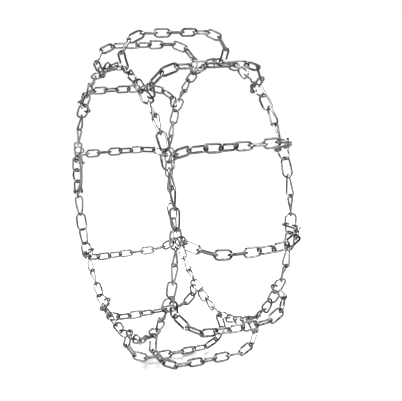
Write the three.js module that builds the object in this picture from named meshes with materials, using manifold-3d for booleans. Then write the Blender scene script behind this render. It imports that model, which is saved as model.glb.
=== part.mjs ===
// Ladder-pattern tyre snow chain, modelled in the shape it has on the tyre.
// Millimetres. Origin at the wheel centre, Y is the axle, -Y the outer side
// (where the tension lever sits), +Z up. Angles run from +X towards +Z.
//
// Two side chains run round the wheel, one on each sidewall. Twelve cross
// chains hang on them like the rungs of a ladder and lie over the tread.
// Each side chain is a ring of slots, one link per slot. Links lying flat on
// the sidewall ("flat") alternate with links standing on edge ("edge").
import * as THREE from 'three';
import { mergeVertices } from 'three/addons/utils/BufferGeometryUtils.js';
import Module from 'manifold-3d';

const wasm = await Module();
wasm.setup();

// ---- driving dimensions ----
const SLOT_ANGLE = 7.2; // angle one side link takes up, degrees
const SLOTS_PER_SECTOR = 4; // side links from one cross chain to the next
const FIRST_SECTOR = -5; // sector just below the fastener, on the right branch
const LAST_SECTOR = 6; // sector just above the fastener
const ANGLE_ZERO = 0.5; // angle of sector 0's cross chain, degrees

const SIDE_PITCH = 40.2; // side link pitch
const SIDE_WIRE = 5.0;
const SIDE_WIDTH = 24.0; // outer width of a side link
const STATION_WIDTH = 30.0; // outer width of the link that carries the hooks
const SIDE_Y = 135.0; // distance of a side chain from the tyre's mid plane
const LINK_CORNER = 9.0; // radius of a link's outer corners
const CORNER_STEPS = 2; // straight pieces in one rounded outer corner
const EYE_STEPS = 1; // and in one corner of a link's eye

const CROSS_PITCH = 33.0;
const CROSS_WIRE = 5.5;
const CROSS_WIDTH = 24.0;
const TREAD_CHAIN_RADIUS = 394.0; // cross chain's centre line on the crown
const CROSS_SLOPES = [0, 1, 24, 58]; // fall of each link from the crown out, deg
const CROWN_SLIP = 4.2; // how far a slack cross chain slips down the tread, degrees
const SLIP_CENTRE = -14.0; // angle on the wheel where the slip is largest
const SLIP_SHARES = [1, 0.95, 0.8, 0.42, 0.1]; // share of it at each joint, crown out

const HOOK_WIRE = 5.0;
const HOOK_WIDTH = 20.0;
const HOOK_CORNER = 7.0; // radius of its outer corners
const HOOK_MOUTH = 10.0; // opening in the hook's leg
const HOOK_TIP = 7.0; // from the middle of the end bar back to the hook's tip

const FUSE = 0.3; // overlap where links of one rigid length are joined
const GAP = 0.4; // air between two separate pieces
const TURN_GAP = 1.4; // slack in a link that turns on the next link's bar

const RING_OUTER = 42.0; // end ring that holds the lever's clevis
const RING_WIRE = 5.0;
const RING_SIDES = 24;
const PIVOT_ANGLE = 187.2; // where the lever's pin sits on the wheel
const PIN_RADIUS = 3.0;
const PIN_GAP = 0.35;
const PIN_HEAD = 1.8;
const PIN_HEAD_RADIUS = 5.0;
const EYE_RADIUS = 6.5; // clevis eye
const CLEVIS_CORNER = 6.0; // corner cut of the clevis bow
const LEVER_THICK = 4.5;
const LEVER_WIDTH = 11.5; // in the plane of the sidewall
const LEVER_RADIUS = 289.5; // radius the lever's long arm lies on
const LEVER_TIP_ANGLE = 167.2;
const LEVER_BOSS_RADIUS = 8.0;
const NECK_THICK = 3.5; // tongue at the lever's tip
const NECK_RADIUS = 303.4;
const KEEPER_RADIUS = 12.0; // keeper ring's wire centre line
const KEEPER_WIRE = 3.0;
const KEEPER_SIDES = 16;
const KEEPER_SHIFT = -2.7; // its rest place along the leg, past the tongue
const CATCH_ANGLE = 190.2; // end bar of the catch link, beside the pivot
const CLOSING_EYE_RADIUS = 8.6; // inner closing hook's eye
const CLOSING_EYE_HOLE = 4.2;
const ARC_SEGMENTS = 12; // straight pieces in half of a drilled or turned circle

// ---- directions ----
const rad = THREE.MathUtils.degToRad;
const AXLE = new THREE.Vector3(0, 1, 0);
const OUTER = -1;
const INNER = 1;

function outward(angle) {
  return new THREE.Vector3(Math.cos(rad(angle)), 0, Math.sin(rad(angle)));
}

function along(angle) {
  return new THREE.Vector3(-Math.sin(rad(angle)), 0, Math.cos(rad(angle)));
}

function slotAngle(slot) {
  return ANGLE_ZERO + SLOT_ANGLE * slot;
}

function onCircle(angle, radius, y) {
  return outward(angle).multiplyScalar(radius).setY(y);
}

const VERTEX_RADIUS = SIDE_PITCH / (2 * Math.sin(rad(SLOT_ANGLE / 2)));
const SLOT_RADIUS = VERTEX_RADIUS * Math.cos(rad(SLOT_ANGLE / 2));

const LAST_SLOT = SLOTS_PER_SECTOR * LAST_SECTOR + 2; // last full slot

// ---- solids ----
function toSolid(geometry) {
  const bare = geometry.clone();
  bare.deleteAttribute('normal');
  bare.deleteAttribute('uv');
  const merged = mergeVertices(bare, 1e-4);
  return new wasm.Manifold(new wasm.Mesh({
    numProp: 3,
    vertProperties: new Float32Array(merged.attributes.position.array),
    triVerts: new Uint32Array(merged.index.array),
  }));
}

function toGeometry(solid) {
  const mesh = solid.getMesh();
  const geometry = new THREE.BufferGeometry();
  geometry.setAttribute('position', new THREE.BufferAttribute(mesh.vertProperties, 3));
  geometry.setIndex(new THREE.BufferAttribute(mesh.triVerts, 1));
  const faceted = geometry.toNonIndexed();
  faceted.computeVertexNormals();
  return faceted;
}

function joined(solids) {
  return solids.reduce((sum, solid) => sum.add(solid));
}

// A flat outline extruded to a plate, centred on its thickness, then laid with
// its x along one direction and its z along the plate's normal.
function plate(shape, thickness, centre, xDirection, normal) {
  const geometry = new THREE.ExtrudeGeometry(shape, {
    depth: thickness,
    bevelEnabled: false,
    curveSegments: ARC_SEGMENTS,
  });
  geometry.translate(0, 0, -thickness / 2);
  const x = xDirection.clone().normalize();
  const z = normal.clone().normalize();
  const y = new THREE.Vector3().crossVectors(z, x);
  const matrix = new THREE.Matrix4().makeBasis(x, y, z).setPosition(centre);
  geometry.applyMatrix4(matrix);
  return toSolid(geometry);
}

// Points of an oblong with rounded corners, counter-clockwise from the right
// end of its lower side.
function oblong(halfLength, halfWidth, radius, steps) {
  const x = halfLength - radius;
  const y = halfWidth - radius;
  const corners = [[x, -y, -90], [x, y, 0], [-x, y, 90], [-x, -y, 180]];
  const points = [];
  for (const [cornerX, cornerY, from] of corners) {
    for (let i = 0; i <= steps; i += 1) {
      const turn = rad(from + (90 * i) / steps);
      const reach = new THREE.Vector2(Math.cos(turn), Math.sin(turn)).multiplyScalar(radius);
      points.push(reach.add(new THREE.Vector2(cornerX, cornerY)));
    }
  }
  return points;
}

// Closed link whose end bars are centred on two points.
function link(start, end, normal, width, wire) {
  const half = start.distanceTo(end) / 2;
  const corner = LINK_CORNER;
  const shape = new THREE.Shape(oblong(half + wire / 2, width / 2, corner, CORNER_STEPS));
  const eye = oblong(half - wire / 2, width / 2 - wire, corner - wire, EYE_STEPS);
  shape.holes.push(new THREE.Path(eye.reverse()));
  const centre = start.clone().add(end).multiplyScalar(0.5);
  return plate(shape, wire, centre, end.clone().sub(start), normal);
}

// Hook: a link with a mouth in one leg, beside the bar it hangs on (at end).
function hook(start, end, normal) {
  const half = start.distanceTo(end) / 2;
  const wire = HOOK_WIRE;
  const outer = oblong(half + wire / 2, HOOK_WIDTH / 2, HOOK_CORNER, CORNER_STEPS);
  const eye = oblong(half - wire / 2, HOOK_WIDTH / 2 - wire, HOOK_CORNER - wire, EYE_STEPS);
  const tip = half - HOOK_TIP; // where the returned tip of the hook ends
  const root = tip - HOOK_MOUTH;
  const low = -HOOK_WIDTH / 2;
  const outline = [
    ...outer,
    new THREE.Vector2(root, low),
    new THREE.Vector2(root - wire / 2, low + wire),
    ...eye.reverse(),
    new THREE.Vector2(tip, low + wire),
    new THREE.Vector2(tip, low),
  ];
  const centre = start.clone().add(end).multiplyScalar(0.5);
  return plate(new THREE.Shape(outline), wire, centre, end.clone().sub(start), normal);
}

function ringShape(radius, wire, sides) {
  const point = (r, i) => {
    const turn = (2 * Math.PI * i) / sides;
    return new THREE.Vector2(r * Math.cos(turn), r * Math.sin(turn));
  };
  const corners = [...Array(sides).keys()];
  const shape = new THREE.Shape(corners.map((i) => point(radius + wire / 2, i)));
  const inner = corners.map((i) => point(radius - wire / 2, i)).reverse();
  shape.holes.push(new THREE.Path(inner));
  return shape;
}

// ---- side chains ----
// One side link. Even slots lie flat on the sidewall (their plane holds the
// axle direction), odd slots stand on edge. lowOffset and highOffset say how
// far past the slot's two ends the centres of the link's end bars lie.
function sideLink(slot, side, lowOffset, highOffset) {
  const angle = slotAngle(slot);
  const middle = onCircle(angle, SLOT_RADIUS, side * SIDE_Y);
  const direction = along(angle);
  const start = middle.clone().addScaledVector(direction, -SIDE_PITCH / 2 - lowOffset);
  const end = middle.clone().addScaledVector(direction, SIDE_PITCH / 2 + highOffset);
  const isFlat = slot % 2 === 0;
  const isStation = slot % SLOTS_PER_SECTOR === 0;
  const width = isStation ? STATION_WIDTH : SIDE_WIDTH;
  return link(start, end, isFlat ? outward(angle) : AXLE, width, SIDE_WIRE);
}

const BAR = SIDE_WIRE / 2;
const FUSED_BAR = BAR - FUSE / 2; // bar offset where two links are joined
const LOOSE_BAR = BAR + TURN_GAP; // bar offset where a link turns on another

// The side links of one sector, joined: two on edge and two flat ones, with
// the cross chain's station link second. The last, flat link ends in the bar
// that the next sector turns on.
function sideLength(sector, side, lastSlot) {
  const first = SLOTS_PER_SECTOR * sector - 1;
  const solids = [];
  for (let slot = first; slot <= lastSlot; slot += 1) {
    const low = slot === first ? LOOSE_BAR : FUSED_BAR;
    const high = slot === lastSlot ? BAR : FUSED_BAR;
    solids.push(sideLink(slot, side, low, high));
  }
  return joined(solids);
}

// ---- cross chains ----
// Joints of half a cross chain, as (distance from mid plane, radius), walked
// out from the crown link by link.
function crossJoints() {
  const joints = [new THREE.Vector2(CROSS_PITCH / 2, TREAD_CHAIN_RADIUS)];
  for (const slope of CROSS_SLOPES) {
    const last = joints[joints.length - 1];
    const step = new THREE.Vector2(Math.cos(rad(slope)), -Math.sin(rad(slope)));
    joints.push(last.clone().addScaledVector(step, CROSS_PITCH));
  }
  return joints;
}

const CROSS_JOINTS = crossJoints();
const STATION_LEG = new THREE.Vector2(
  SIDE_Y - STATION_WIDTH / 2 + SIDE_WIRE / 2,
  SLOT_RADIUS,
);

// The chain's weight draws its slack down the tread, most where the tread
// stands upright, on the +X side. Nothing slips on the far side.
function crownSlip(angle) {
  const upright = Math.max(Math.cos(rad(angle - SLIP_CENTRE)), 0);
  return CROWN_SLIP * upright ** 4;
}

function crossJoint(angle, index, side) {
  const point = CROSS_JOINTS[index];
  const slipped = angle - crownSlip(angle) * SLIP_SHARES[index];
  return onCircle(slipped, point.y, side * point.x);
}

// The part of a direction that is square to a link's length.
function squareTo(direction, length) {
  return direction.clone().addScaledVector(length, -direction.dot(length)).normalize();
}

function crossLink(angle, start, end, isFlat) {
  const direction = end.clone().sub(start).normalize();
  const bar = CROSS_WIRE / 2 - FUSE / 2;
  start.addScaledVector(direction, -bar);
  end.addScaledVector(direction, bar);
  const edgeNormal = squareTo(along(angle), direction);
  const flatNormal = new THREE.Vector3().crossVectors(direction, edgeNormal);
  return link(start, end, isFlat ? flatNormal : edgeNormal, CROSS_WIDTH, CROSS_WIRE);
}

// Hook from the last cross link's bar to the tread-side leg of the station
// link. reach is the distance from that bar's centre to the hook's own bar.
function crossHook(angle, side, reach) {
  const count = CROSS_JOINTS.length;
  const last = crossJoint(angle, count - 1, side);
  const before = crossJoint(angle, count - 2, side);
  const linkDirection = last.clone().sub(before).normalize();
  const bar = last.addScaledVector(linkDirection, (CROSS_WIRE - FUSE) / 2);
  const leg = onCircle(angle, STATION_LEG.y, side * STATION_LEG.x);
  const direction = leg.clone().sub(bar).normalize();
  const start = bar.addScaledVector(direction, -reach);
  const end = leg.addScaledVector(direction, SIDE_WIRE / 2 + 3 * GAP + HOOK_WIRE / 2);
  return hook(start, end, squareTo(along(angle), direction).multiplyScalar(side));
}

const LOOSE_REACH = (HOOK_WIRE + CROSS_WIRE * Math.SQRT2) / 2 + 2 * GAP;
const FUSED_REACH = (HOOK_WIRE + CROSS_WIRE) / 2 + FUSE;

function crossChain(angle) {
  const crownEnds = [INNER, OUTER].map((side) => crossJoint(angle, 0, side));
  const solids = [crossLink(angle, ...crownEnds, true)];
  for (const side of [OUTER, INNER]) {
    for (let i = 1; i < CROSS_JOINTS.length; i += 1) {
      const start = crossJoint(angle, i - 1, side);
      const end = crossJoint(angle, i, side);
      solids.push(crossLink(angle, start, end, i % 2 === 0));
    }
  }
  solids.push(crossHook(angle, INNER, FUSED_REACH));
  return joined(solids);
}

// ---- fastener, outer side ----
// Ring, clevis, pin and lever continue the upper branch below its last
// station link. The lever turns between the clevis legs and lies folded back
// along the chain, on the wheel's side of it.
const STATION_END = slotAngle(SLOTS_PER_SECTOR * LAST_SECTOR + 0.5);
const stationEnd = onCircle(STATION_END, VERTEX_RADIUS, -SIDE_Y);
const pivot = onCircle(PIVOT_ANGLE, VERTEX_RADIUS, -SIDE_Y);
const pull = pivot.clone().sub(stationEnd).normalize();
const outOfWheel = new THREE.Vector3().crossVectors(AXLE, pull);
const RING_RADIUS = (RING_OUTER - RING_WIRE) / 2;
const ringCentre = stationEnd.clone().addScaledVector(pull, RING_RADIUS - RING_WIRE / 2 - 3 * GAP);

function endRing() {
  const shape = ringShape(RING_RADIUS, RING_WIRE, RING_SIDES);
  return plate(shape, RING_WIRE, ringCentre, pull, AXLE);
}

function disc(radius, centre, thickness) {
  const shape = new THREE.Shape();
  shape.absarc(0, 0, radius, 0, 2 * Math.PI, false);
  return plate(shape, thickness, centre, pull, AXLE);
}

// U-shaped bow round the ring's far bar, with an eye at the end of each leg.
function leverClevis() {
  const bow = ringCentre.clone().addScaledVector(pull, RING_RADIUS - RING_WIRE - 3 * GAP);
  const reach = pivot.distanceTo(bow);
  const [low, high] = [-RING_WIRE / 2, reach];
  const wide = SIDE_WIDTH / 2;
  const cut = CLEVIS_CORNER / 2;
  const outline = new THREE.Shape([
    new THREE.Vector2(high, -wide),
    new THREE.Vector2(high, -wide + SIDE_WIRE),
    new THREE.Vector2(-low + cut, -wide + SIDE_WIRE),
    new THREE.Vector2(-low, -wide + SIDE_WIRE + cut),
    new THREE.Vector2(-low, wide - SIDE_WIRE - cut),
    new THREE.Vector2(-low + cut, wide - SIDE_WIRE),
    new THREE.Vector2(high, wide - SIDE_WIRE),
    new THREE.Vector2(high, wide),
    new THREE.Vector2(low + CLEVIS_CORNER, wide),
    new THREE.Vector2(low, wide - CLEVIS_CORNER),
    new THREE.Vector2(low, -wide + CLEVIS_CORNER),
    new THREE.Vector2(low + CLEVIS_CORNER, -wide),
  ].reverse());
  const solids = [plate(outline, SIDE_WIRE, bow, pull, outOfWheel)];
  for (const side of [OUTER, INNER]) {
    const y = -SIDE_Y + side * (wide - SIDE_WIRE / 2);
    solids.push(disc(EYE_RADIUS, pivot.clone().setY(y), SIDE_WIRE));
  }
  const hole = disc(PIN_RADIUS + PIN_GAP, pivot, 2 * SIDE_WIDTH);
  return joined(solids).subtract(hole);
}

function leverPin() {
  const back = -SIDE_Y + SIDE_WIDTH / 2 + GAP;
  const front = -SIDE_Y - SIDE_WIDTH / 2 - GAP;
  const middle = (back + front) / 2;
  const shank = disc(PIN_RADIUS, pivot.clone().setY(middle), back - front + PIN_HEAD);
  const heads = [back + PIN_HEAD / 2, front - PIN_HEAD / 2].map(
    (y) => disc(PIN_HEAD_RADIUS, pivot.clone().setY(y), PIN_HEAD),
  );
  return joined([shank, ...heads]);
}

// Lever outline in the pivot's frame: x along the chain, y out of the wheel.
function leverPoint(angle, radius) {
  const offset = onCircle(angle, radius, pivot.y).sub(pivot);
  return new THREE.Vector2(offset.dot(pull), offset.dot(outOfWheel));
}

// Band of changing half width along a line of points.
function band(stations) {
  const left = [];
  const right = [];
  stations.forEach(([point, half], i) => {
    const [before] = stations[Math.max(i - 1, 0)];
    const [after] = stations[Math.min(i + 1, stations.length - 1)];
    const heading = after.clone().sub(before).normalize();
    const side = new THREE.Vector2(-heading.y, heading.x).multiplyScalar(half);
    left.push(point.clone().add(side));
    right.push(point.clone().sub(side));
  });
  return new THREE.Shape([...right, ...left.reverse()]);
}

// The lever's arm from the root of its tongue to the pivot: it drops away from
// the chain, runs straight at LEVER_RADIUS and rises to the pivot's boss.
const HALF_LEVER = LEVER_WIDTH / 2;
const LEVER_ARM = [
  [leverPoint(LEVER_TIP_ANGLE + 1.6, NECK_RADIUS), NECK_THICK / 2],
  [leverPoint(LEVER_TIP_ANGLE + 3.4, NECK_RADIUS - 6), HALF_LEVER - 1.5],
  [leverPoint(LEVER_TIP_ANGLE + 6.0, LEVER_RADIUS), HALF_LEVER],
  [leverPoint(PIVOT_ANGLE - 11.2, LEVER_RADIUS - 1), HALF_LEVER],
  [leverPoint(PIVOT_ANGLE - 7.2, LEVER_RADIUS - 1), HALF_LEVER],
  [leverPoint(PIVOT_ANGLE - 4.2, LEVER_RADIUS + 3), HALF_LEVER],
  [new THREE.Vector2(0, 0), HALF_LEVER + 1],
];
const LEVER_TONGUE = [
  [leverPoint(LEVER_TIP_ANGLE - 1.0, NECK_RADIUS), NECK_THICK / 2],
  [leverPoint(LEVER_TIP_ANGLE + 2.3, NECK_RADIUS - 1.5), NECK_THICK / 2],
];
// Short beak past the boss, which the catch link hangs over when it is drawn in.
const LEVER_BEAK = [
  [new THREE.Vector2(0, 0), HALF_LEVER - 0.5],
  [new THREE.Vector2(LEVER_BOSS_RADIUS + 2, 1.5), HALF_LEVER - 2.5],
];

function tensionLever() {
  const arm = plate(band(LEVER_ARM), LEVER_THICK, pivot, pull, AXLE);
  const beak = plate(band(LEVER_BEAK), LEVER_THICK, pivot, pull, AXLE);
  const tongue = plate(band(LEVER_TONGUE), NECK_THICK, pivot, pull, AXLE);
  const boss = disc(LEVER_BOSS_RADIUS, pivot, LEVER_THICK);
  const hole = disc(PIN_RADIUS + PIN_GAP, pivot, 3 * LEVER_THICK);
  return joined([arm, beak, boss, tongue]).subtract(hole);
}

// Ring round the first edge link's inner leg, through the link's middle. It
// slides over the lever's tongue to lock it.
const KEEPER_ANGLE = slotAngle(SLOTS_PER_SECTOR * LAST_SECTOR - 1);

function keeperRing() {
  const centre = onCircle(KEEPER_ANGLE, SLOT_RADIUS - KEEPER_RADIUS, -SIDE_Y);
  centre.addScaledVector(along(KEEPER_ANGLE), KEEPER_SHIFT);
  const shape = ringShape(KEEPER_RADIUS, KEEPER_WIRE, KEEPER_SIDES);
  return plate(shape, KEEPER_WIRE, centre, outward(KEEPER_ANGLE), along(KEEPER_ANGLE));
}

// Last two links of the lower branch: one lying flat, on both sides, and on
// the outer side the long catch link that ends beside the lever's nose.
const TAIL_SLOT = LAST_SLOT + 2;

function tailLink(side) {
  return sideLink(TAIL_SLOT, side, BAR, LOOSE_BAR - BAR);
}

function catchLink() {
  const end = onCircle(slotAngle(TAIL_SLOT - 0.5), VERTEX_RADIUS, -SIDE_Y);
  const start = onCircle(CATCH_ANGLE, SLOT_RADIUS, -SIDE_Y);
  const direction = end.clone().sub(start).normalize();
  end.addScaledVector(direction, BAR + GAP);
  return link(start, end, AXLE, SIDE_WIDTH, SIDE_WIRE);
}

// ---- fastener, inner side ----
const HOOK_BAR_SLOT = LAST_SLOT;
const hookBar = onCircle(slotAngle(HOOK_BAR_SLOT), SLOT_RADIUS, SIDE_Y)
  .addScaledVector(along(slotAngle(HOOK_BAR_SLOT)), SIDE_PITCH / 2 + BAR);

// Points round the closing hook's shank and bill, from the eye's neck along the
// underside, round the bill's tip and back; x runs along the pull.
const CLOSING_HOOK_OUTLINE = [
  [15, -3.6],
  [20, -7.6],
  [27, -7.6],
  [31, -2.0],
  [31, 4.0],
  [28, 8.5],
  [25, 8.5],
  [26.4, 3.0],
  [26.4, -0.5],
  [24.5, -3.0],
  [22, -3.0],
  [17.5, 3.6],
];

function innerHook() {
  const direction = along(slotAngle(HOOK_BAR_SLOT + 1));
  const outline = new THREE.Shape();
  outline.absarc(0, 0, CLOSING_EYE_RADIUS, rad(45), rad(315), false);
  for (const [x, y] of CLOSING_HOOK_OUTLINE) {
    outline.lineTo(x, y);
  }
  const eye = new THREE.Path();
  eye.absarc(0, 0, CLOSING_EYE_HOLE, 0, 2 * Math.PI, true);
  outline.holes.push(eye);
  return plate(outline, SIDE_WIRE, hookBar, direction, AXLE);
}

// ---- the scene ----
const chainSteel = { color: 0x6d7072, roughness: 0.28, metalness: 0.95 };
const sideSteel = { color: 0x75787a, roughness: 0.3, metalness: 0.95 };
const hookSteel = { color: 0x5f6264, roughness: 0.32, metalness: 0.95 };
const leverSteel = { color: 0xa9abac, roughness: 0.36, metalness: 0.9 };

const group = new THREE.Group();
group.name = 'tyre_snow_chain';

function addPart(name, solid, finish) {
  const mesh = new THREE.Mesh(toGeometry(solid), new THREE.MeshStandardMaterial(finish));
  mesh.name = name;
  group.add(mesh);
}

for (let sector = LAST_SECTOR; sector >= FIRST_SECTOR; sector -= 1) {
  const number = String(LAST_SECTOR + 1 - sector).padStart(2, '0');
  const station = SLOTS_PER_SECTOR * sector;
  const angle = slotAngle(station);
  const outerLast = sector === LAST_SECTOR ? station : station + 2;
  addPart(`cross_chain_${number}`, crossChain(angle), chainSteel);
  addPart(`outer_cross_hook_${number}`, crossHook(angle, OUTER, LOOSE_REACH), hookSteel);
  addPart(`outer_side_chain_${number}`, sideLength(sector, OUTER, outerLast), sideSteel);
  addPart(`inner_side_chain_${number}`, sideLength(sector, INNER, station + 2), sideSteel);
}

addPart('end_ring', endRing(), hookSteel);
addPart('lever_clevis', leverClevis(), hookSteel);
addPart('lever_pin', leverPin(), leverSteel);
addPart('tension_lever', tensionLever(), leverSteel);
addPart('keeper_ring', keeperRing(), hookSteel);
addPart('outer_tail_link', tailLink(OUTER), sideSteel);
addPart('outer_catch_link', catchLink(), sideSteel);
addPart('inner_hook', innerHook(), hookSteel);
addPart('inner_end_link', tailLink(INNER), sideSteel);

export default group;
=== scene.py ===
"""Ladder-pattern tyre snow chain: fine links, hooks, fastener, finishes, studio.

Millimetres until a point is written to a mesh. Origin at the wheel centre, Y is
the axle, -Y the outer side with the tension lever, +Z up.
"""

import bmesh
import bpy
import math
import random
import numpy as np
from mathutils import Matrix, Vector


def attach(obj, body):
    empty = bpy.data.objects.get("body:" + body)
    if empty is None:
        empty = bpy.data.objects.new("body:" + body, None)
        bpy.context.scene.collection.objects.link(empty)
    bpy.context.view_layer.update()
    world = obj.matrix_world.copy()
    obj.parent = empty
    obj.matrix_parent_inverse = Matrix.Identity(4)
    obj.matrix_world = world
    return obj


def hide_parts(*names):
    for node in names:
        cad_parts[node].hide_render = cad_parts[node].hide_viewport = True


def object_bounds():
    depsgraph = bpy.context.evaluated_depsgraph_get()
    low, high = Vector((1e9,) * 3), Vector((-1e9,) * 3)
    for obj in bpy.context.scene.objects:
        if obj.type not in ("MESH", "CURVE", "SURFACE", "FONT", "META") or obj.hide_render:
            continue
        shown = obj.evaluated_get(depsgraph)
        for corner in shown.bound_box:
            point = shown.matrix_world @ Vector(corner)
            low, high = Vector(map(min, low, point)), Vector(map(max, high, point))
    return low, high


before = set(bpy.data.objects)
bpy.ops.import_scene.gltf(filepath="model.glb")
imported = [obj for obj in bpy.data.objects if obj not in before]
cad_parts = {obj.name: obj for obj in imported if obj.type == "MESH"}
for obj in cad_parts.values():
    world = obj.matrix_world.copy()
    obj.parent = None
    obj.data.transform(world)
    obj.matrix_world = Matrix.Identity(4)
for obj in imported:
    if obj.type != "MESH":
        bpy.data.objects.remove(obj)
cad_low, cad_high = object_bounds()
rng = random.Random(7)
MM = 0.001

# ---- the chain's layout, millimetres and degrees, as in the CAD model ----
SLOT_ANGLE = 7.2
ANGLE_ZERO = 0.5
FIRST_SECTOR, LAST_SECTOR = -5, 6
SIDE_PITCH = 40.2
SIDE_Y = 135.0
SIDE_WIRE = 5.0
SIDE_WIDTH = 24.0
STATION_WIDTH = 30.0
CROSS_PITCH = 33.0
CROSS_WIRE = 5.5
CROSS_WIDTH = 24.0
TREAD_CHAIN_RADIUS = 394.0
CROSS_SLOPES = [0, 1, 24, 58]  # of the links, from the crown out
CROWN_SLIP = 4.2  # of a slack chain round the tread, most at SLIP_CENTRE
SLIP_CENTRE = -14.0
SLIP_SHARES = [1, 0.95, 0.8, 0.42, 0.1]  # of the joints, from the crown out
HOOK_WIRE = 5.0
HOOK_WIDTH = 20.0
HOOK_TIP = 7.0
HOOK_MOUTH = 10.0
PIVOT_ANGLE = 187.2
RING_RADIUS = 18.5  # to the middle of its wire
RING_WIRE = 5.0
RING_TURN = 20.0  # about the pull, as the chain lies
KEEPER_SLOT = 23
KEEPER_RADIUS = 12.0
KEEPER_WIRE = 3.2
KEEPER_SHIFT = 2.7  # its rest place, past the lever's tip
KEEPER_TILT = -22.0  # how it hangs on the link's leg
NECK_RADIUS = 303.4
LEVER_RADIUS = 289.5
LEVER_TIP_ANGLE = 167.2
LEVER_THICK = 4.5
LEVER_BORE = 3.35
BOSS_RADIUS = 8.0  # of the lever round its pin
EYE_RADIUS = 6.5  # of the clevis
EYE_THICK = 4.6
EYE_BORE = 3.3
CATCH_FROM_PIN = 13.5  # to the end of the catch link in the claw
CATCH_REACH = 2.9  # of its other end, past the joint with the tail link
CATCH_ROLL, CATCH_TWIST = 45.0, 90.0
TAIL_TWIST = -18.0
HOOK_EYE_RADIUS = 6.4  # of the inner closing hook
HOOK_EYE_WIRE = 4.4
SIDE_ROLLS = [0.0, 45.0, 90.0, 135.0]  # how each link of a sector is turned
SIDE_TWIST = -45.0
STATION_TWIST_SHARE = 0.45  # a wide link is twisted less
HINGE_SHIFT = 2.1  # along the chain, at each unroll hinge
HINGE_SLACK = 0.7
CROSS_ROLLS = [12.0, -66.0]  # in turn, from the crown out
CROSS_SLACK = 0.5
HOOK_REACH = 6.2  # of a cross hook past the last link's bar

VERTEX_RADIUS = SIDE_PITCH / (2 * math.sin(math.radians(SLOT_ANGLE / 2)))
SLOT_RADIUS = VERTEX_RADIUS * math.cos(math.radians(SLOT_ANGLE / 2))
AXLE = np.array([0.0, 1.0, 0.0])


def outward(angle):
    return np.array([math.cos(math.radians(angle)), 0.0, math.sin(math.radians(angle))])


def along(angle):
    return np.array([-math.sin(math.radians(angle)), 0.0, math.cos(math.radians(angle))])


def slot_angle(slot):
    return ANGLE_ZERO + SLOT_ANGLE * slot


def on_circle(angle, radius, y):
    return outward(angle) * radius + AXLE * y


def unit(v):
    return v / np.linalg.norm(v)


# ---- round wire ----
class Wires:
    """Gathers swept wires, then makes one mesh object of them."""

    def __init__(self):
        self.verts, self.faces, self.tone, self.worn = [], [], [], []

    def add(self, points, radius, closed=True, sides=12, worn=None):
        p = np.asarray(points, float)
        radii = np.full(len(p), float(radius)) if np.isscalar(radius) else np.asarray(radius)
        worn = np.zeros(len(p)) if worn is None else np.asarray(worn)
        if not closed:
            p, radii, worn = self._round_ends(p, radii, worn)
        if closed:
            tangent = np.roll(p, -1, 0) - np.roll(p, 1, 0)
        else:
            tangent = np.gradient(p, axis=0)
        tangent /= np.linalg.norm(tangent, axis=1)[:, None]
        count = len(p)
        side = np.zeros_like(p)
        helper = np.array([0.31, 0.87, 0.38])
        side[0] = unit(np.cross(tangent[0], helper))
        for i in range(1, count):
            v = side[i - 1] - tangent[i] * side[i - 1].dot(tangent[i])
            side[i] = unit(v)
        over = np.cross(tangent, side)
        turn = np.zeros(count)
        if closed:
            v = unit(side[-1] - tangent[0] * side[-1].dot(tangent[0]))
            gap = math.atan2(v.dot(over[0]), v.dot(side[0]))
            turn = -gap * np.arange(count) / count
        base = len(self.verts)
        tone = rng.random()
        for i in range(count):
            for k in range(sides):
                a = 2 * math.pi * k / sides + turn[i]
                offset = side[i] * math.cos(a) + over[i] * math.sin(a)
                self.verts.append((p[i] + offset * radii[i]) * MM)
                self.tone.append(tone)
                self.worn.append(float(worn[i]))
        rings = count if closed else count - 1
        for i in range(rings):
            j = (i + 1) % count
            for k in range(sides):
                m = (k + 1) % sides
                a, b = base + i * sides, base + j * sides
                self.faces.append((a + k, a + m, b + m, b + k))
        if not closed:
            self.faces.append(tuple(base + k for k in reversed(range(sides))))
            last = base + (count - 1) * sides
            self.faces.append(tuple(last + k for k in range(sides)))

    @staticmethod
    def _round_ends(p, radii, worn):
        head, tail = unit(p[0] - p[1]), unit(p[-1] - p[-2])
        steps = [0.35, 0.7, 0.92]
        first = [p[0] + head * radii[0] * (s - 0.92) for s in reversed(steps)]
        final = [p[-1] + tail * radii[-1] * (s - 0.92) for s in steps]
        inner_head = radii[0] * (steps[-1] - steps[0]) + 0.05
        p = p.copy()
        p[0] = p[0] - head * inner_head
        p[-1] = p[-1] - tail * inner_head
        shrink = [math.sqrt(max(1 - s * s, 0.05)) for s in steps]
        r0 = [radii[0] * s for s in reversed(shrink)]
        r1 = [radii[-1] * s for s in shrink]
        p = np.vstack([first, p, final])
        radii = np.concatenate([r0, radii, r1])
        worn = np.concatenate([[worn[0]] * 3, worn, [worn[-1]] * 3])
        return p, radii, worn

    def object(self, name):
        mesh = bpy.data.meshes.new(name)
        mesh.from_pydata([tuple(v) for v in self.verts], [], self.faces)
        for key, values in (("tone", self.tone), ("worn", self.worn)):
            attribute = mesh.attributes.new(key, "FLOAT", "POINT")
            attribute.data.foreach_set("value", values)
        mesh.polygons.foreach_set("use_smooth", [True] * len(mesh.polygons))
        bm = bmesh.new()
        bm.from_mesh(mesh)
        bmesh.ops.recalc_face_normals(bm, faces=bm.faces)
        bm.to_mesh(mesh)
        bm.free()
        mesh.update()
        obj = bpy.data.objects.new(name, mesh)
        bpy.context.scene.collection.objects.link(obj)
        return obj


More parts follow.
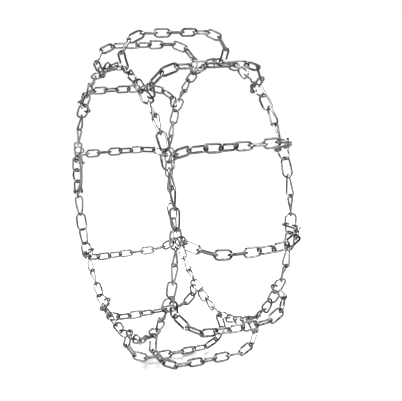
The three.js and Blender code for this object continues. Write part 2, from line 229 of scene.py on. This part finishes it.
def stadium(half, bend, arc_steps=9, leg_steps=7):
    """Centre line of a link: two legs and two round ends, at leg distance bend."""
    flat = half - bend
    points = []
    for i in range(leg_steps):
        points.append((-flat + 2 * flat * i / leg_steps, -bend))
    for i in range(arc_steps):
        a = -math.pi / 2 + math.pi * i / arc_steps
        points.append((flat + bend * math.cos(a), bend * math.sin(a)))
    for i in range(leg_steps):
        points.append((flat - 2 * flat * i / leg_steps, bend))
    for i in range(arc_steps):
        a = math.pi / 2 + math.pi * i / arc_steps
        points.append((-flat + bend * math.cos(a), bend * math.sin(a)))
    return points


def add_link(wires, start, end, flat_side, wire, width, roll, twist, slack=0.25):
    """A twisted, welded link between the centres of its two end bars."""
    middle = (start + end) / 2
    x_axis = unit(end - start)
    y_axis = unit(flat_side - x_axis * flat_side.dot(x_axis))
    z_axis = np.cross(x_axis, y_axis)
    half = np.linalg.norm(end - start) / 2 + slack
    bend = (width - wire) / 2
    roll += rng.uniform(-3.5, 3.5)
    points, radii, worn = [], [], []
    for x, y in stadium(half, bend):
        angle = math.radians(roll + twist * x / (2 * half))
        lean = y_axis * math.cos(angle) + z_axis * math.sin(angle)
        points.append(middle + x_axis * x + lean * y)
        weld = math.exp(-((x - 1.0) / 2.2) ** 2) if y < 0 else 0.0
        radii.append(wire / 2 * (1 + 0.13 * weld))
        near_end = max(0.0, abs(x) / half - 0.82) / 0.18
        worn.append(min(1.0, near_end + 0.5 * weld))
    wires.add(points, radii, worn=worn)


# ---- finishes ----
def node(tree, kind, **inputs):
    n = tree.nodes.new(kind)
    for key, value in inputs.items():
        n.inputs[key.replace("_", " ")].default_value = value
    return n


def steel(name, dark, light, rough_low, rough_high, brushed=0.0):
    """Zinc-plated steel: cloudy plating, tone by link, rubbed and grimy bends."""
    material = bpy.data.materials.new(name)
    material.use_nodes = True
    tree = material.node_tree
    link = tree.links.new
    shader = tree.nodes["Principled BSDF"]
    shader.inputs["Metallic"].default_value = 1.0
    place = tree.nodes.new("ShaderNodeTexCoord")
    cloud = node(tree, "ShaderNodeTexNoise", Scale=140.0, Detail=5.0, Roughness=0.6)
    grain = node(tree, "ShaderNodeTexNoise", Scale=1300.0, Detail=3.0, Roughness=0.7)
    spots = node(tree, "ShaderNodeTexVoronoi", Scale=420.0)
    for texture in (cloud, grain, spots):
        link(place.outputs["Object"], texture.inputs["Vector"])
    tone = tree.nodes.new("ShaderNodeAttribute")
    tone.attribute_name = "tone"
    worn = tree.nodes.new("ShaderNodeAttribute")
    worn.attribute_name = "worn"
    mix_tone = tree.nodes.new("ShaderNodeMath")
    mix_tone.operation = "MULTIPLY_ADD"
    mix_tone.inputs[1].default_value = 0.55
    link(tone.outputs["Fac"], mix_tone.inputs[0])
    cloud_part = tree.nodes.new("ShaderNodeMath")
    cloud_part.operation = "MULTIPLY"
    cloud_part.inputs[1].default_value = 0.75
    link(cloud.outputs["Fac"], cloud_part.inputs[0])
    link(cloud_part.outputs[0], mix_tone.inputs[2])
    ramp = tree.nodes.new("ShaderNodeValToRGB")
    ramp.color_ramp.elements[0].position = 0.25
    ramp.color_ramp.elements[0].color = (*dark, 1)
    ramp.color_ramp.elements[1].position = 0.85
    ramp.color_ramp.elements[1].color = (*light, 1)
    link(mix_tone.outputs[0], ramp.inputs["Fac"])
    # grime gathers where links bear on each other, broken up by the clouds
    grime = tree.nodes.new("ShaderNodeMath")
    grime.operation = "MULTIPLY"
    link(worn.outputs["Fac"], grime.inputs[0])
    link(cloud.outputs["Fac"], grime.inputs[1])
    dirty = tree.nodes.new("ShaderNodeMix")
    dirty.data_type = "RGBA"
    link(grime.outputs[0], dirty.inputs["Factor"])
    link(ramp.outputs["Color"], dirty.inputs["A"])
    dirty.inputs["B"].default_value = (dark[0] * 0.35, dark[1] * 0.33, dark[2] * 0.3, 1)
    link(dirty.outputs["Result"], shader.inputs["Base Color"])
    rough = tree.nodes.new("ShaderNodeMapRange")
    rough.inputs["From Min"].default_value = 0.3
    rough.inputs["From Max"].default_value = 0.75
    rough.inputs["To Min"].default_value = rough_low
    rough.inputs["To Max"].default_value = rough_high
    link(cloud.outputs["Fac"], rough.inputs["Value"])
    rubbed = tree.nodes.new("ShaderNodeMath")
    rubbed.operation = "MULTIPLY_ADD"
    rubbed.inputs[1].default_value = 0.12
    link(grime.outputs[0], rubbed.inputs[0])
    link(rough.outputs["Result"], rubbed.inputs[2])
    link(rubbed.outputs[0], shader.inputs["Roughness"])
    height = tree.nodes.new("ShaderNodeMath")
    height.operation = "MULTIPLY_ADD"
    height.inputs[1].default_value = 0.35
    link(spots.outputs["Distance"], height.inputs[0])
    link(grain.outputs["Fac"], height.inputs[2])
    bump = tree.nodes.new("ShaderNodeBump")
    bump.inputs["Strength"].default_value = 0.14
    bump.inputs["Distance"].default_value = 0.00025
    if brushed:
        stretch = tree.nodes.new("ShaderNodeMapping")
        stretch.inputs["Scale"].default_value = (4000.0, 3000.0, 60.0)
        lines = node(tree, "ShaderNodeTexNoise", Scale=1.0, Detail=2.0)
        link(place.outputs["Object"], stretch.inputs["Vector"])
        link(stretch.outputs["Vector"], lines.inputs["Vector"])
        both = tree.nodes.new("ShaderNodeMath")
        both.operation = "MULTIPLY_ADD"
        both.inputs[1].default_value = brushed
        link(lines.outputs["Fac"], both.inputs[0])
        link(height.outputs[0], both.inputs[2])
        height = both
    link(height.outputs[0], bump.inputs["Height"])
    link(bump.outputs["Normal"], shader.inputs["Normal"])
    return material


CROSS_STEEL = steel("cross_chain_plating", (0.06, 0.061, 0.064), (0.27, 0.274, 0.28), 0.1, 0.24)
SIDE_STEEL = steel("side_chain_plating", (0.065, 0.066, 0.069), (0.29, 0.294, 0.3), 0.1, 0.26)
HOOK_STEEL = steel("hook_plating", (0.05, 0.051, 0.053), (0.24, 0.244, 0.25), 0.12, 0.28)
LEVER_STEEL = steel("lever_plating", (0.2, 0.203, 0.208), (0.42, 0.425, 0.432), 0.24, 0.42, 0.8)


def place(obj, body, slot, material, *nodes):
    obj.data.materials.clear()
    obj.data.materials.append(material)
    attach(obj, body)
    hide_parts(*nodes)


# ---- side chains ----
BAR = SIDE_WIRE / 2


def side_ends(slot, side):
    angle = slot_angle(slot)
    middle = on_circle(angle, SLOT_RADIUS, side * SIDE_Y)
    reach = along(angle) * (SIDE_PITCH / 2 + BAR)
    return middle - reach, middle + reach


def add_side_link(wires, slot, side):
    start, end = side_ends(slot, side)
    width = STATION_WIDTH if slot % 4 == 0 else SIDE_WIDTH
    # where two sectors meet, the wire lying along the hinge is the one at its centre
    if slot % 4 == 3:
        start = start + unit(end - start) * HINGE_SHIFT
    if slot % 4 == 2:
        end = end + unit(end - start) * (HINGE_SHIFT + HINGE_SLACK)
    roll = SIDE_ROLLS[slot % 4]
    twist = SIDE_TWIST * (STATION_TWIST_SHARE if slot % 4 == 0 else 1.0)
    add_link(wires, start, end, AXLE, SIDE_WIRE, width, side * roll, side * twist)


# ---- cross chains ----
def cross_joints():
    joints = [np.array([CROSS_PITCH / 2, TREAD_CHAIN_RADIUS])]
    for slope in CROSS_SLOPES:
        a = math.radians(slope)
        joints.append(joints[-1] + CROSS_PITCH * np.array([math.cos(a), -math.sin(a)]))
    return joints


JOINTS = cross_joints()
LEG = np.array([SIDE_Y - STATION_WIDTH / 2 + SIDE_WIRE / 2, SLOT_RADIUS])


def cross_joint(angle, index, side):
    upright = max(math.cos(math.radians(angle - SLIP_CENTRE)), 0.0)
    slipped = angle - CROWN_SLIP * upright ** 4 * SLIP_SHARES[index]
    return on_circle(slipped, JOINTS[index][1], side * JOINTS[index][0])


def add_cross_link(wires, angle, start, end, index):
    reach = unit(end - start) * CROSS_WIRE / 2
    roll = CROSS_ROLLS[index % 2]
    add_link(wires, start - reach, end + reach, along(angle), CROSS_WIRE, CROSS_WIDTH,
             roll, 0.0, slack=CROSS_SLACK)


def add_cross_hook(wires, angle, side, reach):
    """Bent wire hook, its mouth away from the tyre, closed on the last link."""
    last, before = cross_joint(angle, -1, side), cross_joint(angle, -2, side)
    bar = last + unit(last - before) * CROSS_WIRE / 2
    leg = on_circle(angle, LEG[1], side * LEG[0])
    x_axis = unit(leg - bar)
    start = bar - x_axis * reach
    end = leg + x_axis * (SIDE_WIRE / 2 + 0.6 + HOOK_WIRE / 2)
    middle, half = (start + end) / 2, np.linalg.norm(end - start) / 2
    y_axis = unit(np.cross(along(angle) * side, x_axis))
    bend = (HOOK_WIDTH - HOOK_WIRE) / 2
    flat = half - bend
    tip = half - HOOK_TIP
    root = tip - HOOK_MOUTH
    line = [(root - 6.0 * i / 3, -bend - (0.9 if i == 0 else 0.0)) for i in range(3)]
    for i in range(11):
        a = -math.pi / 2 - math.pi * i / 10
        line.append((-flat + bend * math.cos(a), bend * math.sin(a)))
    for i in range(1, 6):
        line.append((-flat + 2 * flat * i / 6, bend - 0.8 * math.sin(math.pi * i / 6)))
    for i in range(11):
        a = math.pi / 2 - math.pi * i / 10
        line.append((flat + bend * math.cos(a), bend * math.sin(a)))
    line.append((tip, -bend - 0.5))
    points = [middle + x_axis * x + y_axis * y for x, y in line]
    worn = [1.0 if 13 < i < 30 else 0.4 for i in range(len(points))]
    wires.add(points, HOOK_WIRE / 2, closed=False, sides=12, worn=worn)


for sector in range(LAST_SECTOR, FIRST_SECTOR - 1, -1):
    number = f"{LAST_SECTOR + 1 - sector:02d}"
    body = f"sector_{number}"
    station = 4 * sector
    theta = slot_angle(station)

    chain = Wires()
    add_cross_link(chain, theta, cross_joint(theta, 0, 1), cross_joint(theta, 0, -1), 0)
    for side in (-1, 1):
        for i in range(1, len(JOINTS)):
            low, high = cross_joint(theta, i - 1, side), cross_joint(theta, i, side)
            add_cross_link(chain, theta, low, high, i)
    place(chain.object(f"cross_links_{number}"), body, "cross_steel", CROSS_STEEL,
          f"cross_chain_{number}")

    for side, label in ((-1, "outer"), (1, "inner")):
        bent = Wires()
        add_cross_hook(bent, theta, side, HOOK_REACH)
        stands_for = f"outer_cross_hook_{number}" if side < 0 else f"cross_chain_{number}"
        place(bent.object(f"{label}_hook_{number}"), body, "hook_steel", HOOK_STEEL, stands_for)

        ring = Wires()
        last = station if (sector == LAST_SECTOR and side < 0) else station + 2
        for slot in range(station - 1, last + 1):
            add_side_link(ring, slot, side)
        place(ring.object(f"{label}_side_links_{number}"), body, "side_steel", SIDE_STEEL,
              f"{label}_side_chain_{number}")

# ---- outer fastener ----
TOP, BOTTOM = "sector_01", "sector_12"
station_end = on_circle(slot_angle(24.5), VERTEX_RADIUS, -SIDE_Y)
pivot = on_circle(PIVOT_ANGLE, VERTEX_RADIUS, -SIDE_Y)
pull = unit(pivot - station_end)
rise = np.cross(AXLE, pull)
ring_centre = station_end + pull * (RING_RADIUS - 3.7)


def circle(centre, x_axis, y_axis, radius, steps=40):
    turns = [2 * math.pi * i / steps for i in range(steps)]
    return [centre + x_axis * radius * math.cos(a) + y_axis * radius * math.sin(a) for a in turns]


def ring_piece(name, centre, x_axis, y_axis, radius, wire, body, node_name):
    wires = Wires()
    weld = [math.exp(-((i - 10) / 1.1) ** 2) for i in range(40)]
    radii = [wire / 2 * (1 + 0.12 * w) for w in weld]
    wires.add(circle(centre, x_axis, y_axis, radius), radii, worn=[0.3 + 0.5 * w for w in weld])
    place(wires.object(name), body, "hook_steel", HOOK_STEEL, node_name)


turn = math.radians(RING_TURN)
ring_side = rise * math.cos(turn) - AXLE * math.sin(turn)
ring_piece("end_ring_wire", ring_centre, pull, ring_side, RING_RADIUS, RING_WIRE, TOP, "end_ring")

keeper_angle = slot_angle(KEEPER_SLOT)
keeper = on_circle(keeper_angle, SLOT_RADIUS - KEEPER_RADIUS, -SIDE_Y)
keeper = keeper - along(keeper_angle) * KEEPER_SHIFT
tilt = math.radians(KEEPER_TILT)
keeper_side = outward(keeper_angle) * math.cos(tilt) + along(keeper_angle) * math.sin(tilt)
ring_piece("keeper_ring_wire", keeper, keeper_side, AXLE, KEEPER_RADIUS, KEEPER_WIRE,
           "keeper", "keeper_ring")


def plate(name, outline, thickness, centre, x_axis, y_axis, body, slot, material, nodes,
          holes=(), bevel=1.0, worn=0.2):
    """A flat bar cut to an outline, with drilled holes and rounded edges."""
    z_axis = np.cross(x_axis, y_axis)
    bm = bmesh.new()
    loops = [outline]
    for hx, hy, hr in holes:
        turns = [2 * math.pi * i / 28 for i in range(28)]
        loops.append([(hx + hr * math.cos(a), hy + hr * math.sin(a)) for a in turns])
    edges = []
    for loop in loops:
        verts = [bm.verts.new((centre + x_axis * x + y_axis * y - z_axis * thickness / 2) * MM)
                 for x, y in loop]
        edges += [bm.edges.new((verts[i], verts[(i + 1) % len(verts)])) for i in range(len(verts))]
    bmesh.ops.triangle_fill(bm, edges=edges, use_beauty=True, use_dissolve=False)
    if holes:
        gone = []
        for face in bm.faces:
            c = np.array(face.calc_center_median()) / MM - centre
            x, y = c.dot(x_axis), c.dot(y_axis)
            if any(math.hypot(x - hx, y - hy) < hr * 0.98 for hx, hy, hr in holes):
                gone.append(face)
        bmesh.ops.delete(bm, geom=gone, context="FACES_ONLY")
    up = Vector(z_axis * thickness * MM)
    made = bmesh.ops.extrude_face_region(bm, geom=bm.faces[:])
    raised = [g for g in made["geom"] if isinstance(g, bmesh.types.BMVert)]
    bmesh.ops.translate(bm, vec=up, verts=raised)
    bmesh.ops.recalc_face_normals(bm, faces=bm.faces)
    mesh = bpy.data.meshes.new(name)
    bm.to_mesh(mesh)
    bm.free()
    for key, value in (("tone", rng.random()), ("worn", worn)):
        attribute = mesh.attributes.new(key, "FLOAT", "POINT")
        attribute.data.foreach_set("value", [value] * len(mesh.vertices))
    obj = bpy.data.objects.new(name, mesh)
    bpy.context.scene.collection.objects.link(obj)
    round_off = obj.modifiers.new("rounded_edges", "BEVEL")
    round_off.width = bevel * MM
    round_off.segments = 3
    round_off.limit_method = "ANGLE"
    round_off.angle_limit = math.radians(50)
    mesh.polygons.foreach_set("use_smooth", [True] * len(mesh.polygons))
    place(obj, body, slot, material, *nodes)
    return obj


def in_pivot_frame(angle, radius):
    offset = on_circle(angle, radius, -SIDE_Y) - pivot
    return np.array([offset.dot(pull), offset.dot(rise)])


def smooth_line(stations, steps=7):
    """Catmull-Rom through (x, y, half width) stations."""
    s = [np.array(v, float) for v in stations]
    s = [2 * s[0] - s[1]] + s + [2 * s[-1] - s[-2]]
    line = []
    for i in range(1, len(s) - 2):
        for k in range(steps):
            t = k / steps
            a, b, c, d = s[i - 1], s[i], s[i + 1], s[i + 2]
            line.append(0.5 * (2 * b + (c - a) * t + (2 * a - 5 * b + 4 * c - d) * t * t
                               + (3 * b - a - 3 * c + d) * t ** 3))
    line.append(s[-2])
    return np.array(line)


def band_outline(line):
    heading = np.gradient(line[:, :2], axis=0)
    heading /= np.linalg.norm(heading, axis=1)[:, None]
    normal = np.stack([-heading[:, 1], heading[:, 0]], axis=1)
    left = line[:, :2] + normal * line[:, 2:3]
    right = line[:, :2] - normal * line[:, 2:3]
    outline = [tuple(v) for v in right]
    outline += [tuple(v) for v in left[::-1]]
    return outline


# centre line of the claw: (x, y, half width) in the pivot's frame
CLAW = [(4.0, 5.6, 2.6), (8.5, 7.2, 2.7), (13.0, 7.4, 2.5), (17.0, 5.2, 2.1), (18.6, 1.6, 1.8),
        (18.5, -0.8, 1.4)]


def lever_outline():
    arm = smooth_line([
        (*in_pivot_frame(LEVER_TIP_ANGLE - 1.0, NECK_RADIUS), 1.5),
        (*in_pivot_frame(LEVER_TIP_ANGLE + 0.6, NECK_RADIUS), 1.75),
        (*in_pivot_frame(LEVER_TIP_ANGLE + 2.2, NECK_RADIUS - 1.6), 2.2),
        (*in_pivot_frame(LEVER_TIP_ANGLE + 3.8, NECK_RADIUS - 7), 4.2),
        (*in_pivot_frame(LEVER_TIP_ANGLE + 6.2, LEVER_RADIUS), 5.5),
        (*in_pivot_frame(176.0, LEVER_RADIUS - 1), 5.75),
        (*in_pivot_frame(180.0, LEVER_RADIUS - 1), 5.75),
        (*in_pivot_frame(183.0, LEVER_RADIUS + 3.6), 5.75),
        (*(in_pivot_frame(183.0, LEVER_RADIUS + 3.6) * 0.45), 6.3),
    ])
    outline = band_outline(arm)
    right, left = outline[:len(arm)], outline[len(arm):]
    # round the pivot's boss from one flank of the arm to the other, with the
    # claw that the catch link's end bar hangs in on its lower side
    boss_from = math.atan2(right[-1][1], right[-1][0])
    boss_to = math.atan2(left[0][1], left[0][0])
    while boss_to < boss_from:
        boss_to += 2 * math.pi
    claw = band_outline(smooth_line(CLAW, 5))
    claw_from = math.atan2(claw[0][1], claw[0][0]) % (2 * math.pi)
    claw_to = math.atan2(claw[-1][1], claw[-1][0]) % (2 * math.pi)
    boss = []
    done = False
    for i in range(1, 30):
        a = boss_from + (boss_to - boss_from) * i / 30
        here = a % (2 * math.pi)
        if claw_from <= here <= claw_to:
            if not done:
                boss += claw
                done = True
            continue
        boss.append((BOSS_RADIUS * math.cos(a), BOSS_RADIUS * math.sin(a)))
    return right + boss + left


plate("lever_bar", lever_outline(), LEVER_THICK, pivot, pull, rise, "lever", "lever_steel",
      LEVER_STEEL, ["tension_lever"], holes=[(0, 0, LEVER_BORE)], bevel=0.9)

# clevis: one bent wire bow and two flattened eyes
bow = ring_centre + pull * (RING_RADIUS - RING_WIRE - 1.2)
reach = np.linalg.norm(pivot - bow)
clevis = Wires()
bend = (SIDE_WIDTH - SIDE_WIRE) / 2
path = [(reach - 5.5, -bend), (reach * 0.66, -bend), (bend + 4, -bend)]
half_turns = [math.pi * i / 12 for i in range(13)]
path += [(bend - bend * math.sin(a), -bend * math.cos(a)) for a in half_turns]
path += [(bend + 4, bend), (reach * 0.66, bend), (reach - 5.5, bend)]
clevis.add([bow + pull * x + AXLE * y for x, y in path], SIDE_WIRE / 2, closed=False,
           worn=[0.9 if 5 < i < 14 else 0.3 for i in range(len(path))])
place(clevis.object("clevis_bow"), TOP, "hook_steel", HOOK_STEEL, "lever_clevis")
for side, label in ((-1, "outer"), (1, "inner")):
    turns = [2 * math.pi * i / 36 for i in range(36)]
    ear = [(EYE_RADIUS * math.cos(a), EYE_RADIUS * math.sin(a)) for a in turns]
    plate(f"clevis_eye_{label}", ear, EYE_THICK, pivot + AXLE * side * bend, pull, rise,
          TOP, "hook_steel", HOOK_STEEL, ["lever_clevis"], holes=[(0, 0, EYE_BORE)], bevel=0.8)


def lathe(name, profile, centre, axis, body, slot, material, nodes, steps=36):
    """Turned piece: (radius, height) pairs along the axis."""
    side = unit(np.cross(axis, np.array([0.3, 0.2, 0.9])))
    over = np.cross(axis, side)
    verts, faces = [], []
    for r, h in profile:
        for k in range(steps):
            a = 2 * math.pi * k / steps
            verts.append((centre + axis * h + (side * math.cos(a) + over * math.sin(a)) * r) * MM)
    for i in range(len(profile) - 1):
        for k in range(steps):
            m = (k + 1) % steps
            faces.append((i * steps + k, i * steps + m, (i + 1) * steps + m, (i + 1) * steps + k))
    faces.append(tuple(reversed(range(steps))))
    faces.append(tuple((len(profile) - 1) * steps + k for k in range(steps)))
    wires = Wires()
    wires.verts, wires.faces = verts, faces
    wires.tone, wires.worn = [0.7] * len(verts), [0.15] * len(verts)
    place(wires.object(name), body, slot, material, *nodes)


head = SIDE_WIDTH / 2 + 0.4
lathe("lever_rivet", [
    (1.2, -head - 1.75), (3.4, -head - 1.4), (4.6, -head - 0.7), (4.9, -head - 0.1), (4.6, -head),
    (3.0, -head + 0.1), (3.0, head - 0.1), (4.6, head), (4.9, head + 0.1), (4.6, head + 0.7),
    (3.4, head + 1.4), (1.2, head + 1.75)],
    pivot, AXLE, TOP, "lever_steel", LEVER_STEEL, ["lever_pin"])

# last links of the lower branch
for side, label, node_name in ((-1, "outer", "outer_tail_link"), (1, "inner", "inner_end_link")):
    tail = Wires()
    start, end = side_ends(28, side)
    add_link(tail, start, end, AXLE, SIDE_WIRE, STATION_WIDTH, 0.0, side * TAIL_TWIST)
    place(tail.object(f"{label}_tail_wire"), BOTTOM, "side_steel", SIDE_STEEL, node_name)

catch = Wires()
end = on_circle(slot_angle(27.5), VERTEX_RADIUS, -SIDE_Y)
end += unit(end - pivot) * CATCH_REACH
start = pivot + unit(end - pivot) * CATCH_FROM_PIN
add_link(catch, start, end, AXLE, SIDE_WIRE, SIDE_WIDTH, CATCH_ROLL, CATCH_TWIST, slack=0.0)
place(catch.object("outer_catch_wire"), BOTTOM, "side_steel", SIDE_STEEL, "outer_catch_link")

# ---- inner closing hook ----
hook_bar = side_ends(26, 1)[1]
hook_pull = along(slot_angle(27))
hook_rise = np.cross(AXLE, hook_pull)
closing = Wires()
turns = [math.radians(a) for a in range(28, 340, 13)]
eye = [(HOOK_EYE_RADIUS * math.cos(a), HOOK_EYE_RADIUS * math.sin(a)) for a in turns]
shank = [(10.5, -1.6), (14.5, -3.2), (18.0, -5.0), (22.0, -5.6), (25.6, -4.6), (28.0, -1.6),
         (28.6, 2.0), (27.6, 5.6), (26.4, 7.6)]
line = [hook_bar + hook_pull * x + hook_rise * y for x, y in eye + shank]
closing.add(line, HOOK_EYE_WIRE / 2, closed=False, worn=[0.6] * len(line))
place(closing.object("closing_hook_wire"), "closing_hook", "hook_steel", HOOK_STEEL, "inner_hook")

# ---- studio ----
scene = bpy.context.scene
floor_z = cad_low[2]


def sheet(name, size, z):
    mesh = bpy.data.meshes.new(name)
    s = size / 2
    mesh.from_pydata([(-s, -s, z), (s, -s, z), (s, s, z), (-s, s, z)], [], [(0, 1, 2, 3)])
    obj = bpy.data.objects.new(name, mesh)
    scene.collection.objects.link(obj)
    return obj


floor = sheet("floor", 60.0, floor_z - 0.0005)
paper = bpy.data.materials.new("floor_paper")
paper.use_nodes = True
paper_shader = paper.node_tree.nodes["Principled BSDF"]
paper_shader.inputs["Base Color"].default_value = (0.5, 0.5, 0.5, 1)
paper_shader.inputs["Roughness"].default_value = 0.14
floor.data.materials.append(paper)

world = bpy.data.worlds.new("studio")
scene.world = world
world.use_nodes = True
wt = world.node_tree
sky = wt.nodes["Background"]
direction = wt.nodes.new("ShaderNodeTexCoord")
split = wt.nodes.new("ShaderNodeSeparateXYZ")
shade = wt.nodes.new("ShaderNodeValToRGB")
shade.color_ramp.elements[0].position = 0.06
shade.color_ramp.elements[0].color = (1.0, 1.0, 1.0, 1)
shade.color_ramp.elements[1].position = 0.4
shade.color_ramp.elements[1].color = (0.05, 0.05, 0.052, 1)
wt.links.new(direction.outputs["Generated"], split.inputs[0])
wt.links.new(split.outputs["Z"], shade.inputs["Fac"])
wt.links.new(shade.outputs["Color"], sky.inputs["Color"])
sky.inputs["Strength"].default_value = 1.0

# where the camera stands, in degrees and metres, and what it sees
AZIMUTH, ELEVATION, DISTANCE = 65.8, 14.1, 1.97
SENSOR_WIDTH, LENS = 36.0, 72.9  # millimetres
SHIFT_X, SHIFT_Y = 0.0729, -0.0065  # of the picture's middle, over its width
a, e = math.radians(AZIMUTH), math.radians(ELEVATION)
back = Vector((math.sin(a) * math.cos(e), -math.cos(a) * math.cos(e), math.sin(e)))
right = Vector((math.cos(a), math.sin(a), 0.0))


def soft_sun(name, toward, strength, spread):
    """A big soft box a long way off: even light on the floor, one clean highlight."""
    data = bpy.data.lights.new(name, "SUN")
    data.energy = strength
    data.angle = math.radians(spread)
    obj = bpy.data.objects.new(name, data)
    obj.rotation_euler = toward.to_track_quat("Z", "Y").to_euler()
    scene.collection.objects.link(obj)


soft_sun("key", back * 0.5 - right * 0.8 + Vector((0, 0, 1.15)), 6.2, 40)
soft_sun("fill", back * 0.6 + right * 1.2 + Vector((0, 0, 0.75)), 1.4, 34)
soft_sun("rim", -back * 1.1 + right * 0.2 + Vector((0, 0, 1.0)), 2.4, 44)

camera = bpy.data.objects.new("camera", bpy.data.cameras.new("camera"))
scene.collection.objects.link(camera)
scene.camera = camera
camera.location = back * DISTANCE
camera.rotation_euler = back.to_track_quat("Z", "Y").to_euler()
camera.data.sensor_width = SENSOR_WIDTH
camera.data.lens = LENS
camera.data.shift_x = SHIFT_X
camera.data.shift_y = SHIFT_Y
camera.data.clip_end = 100.0
scene.view_settings.view_transform = "Standard"
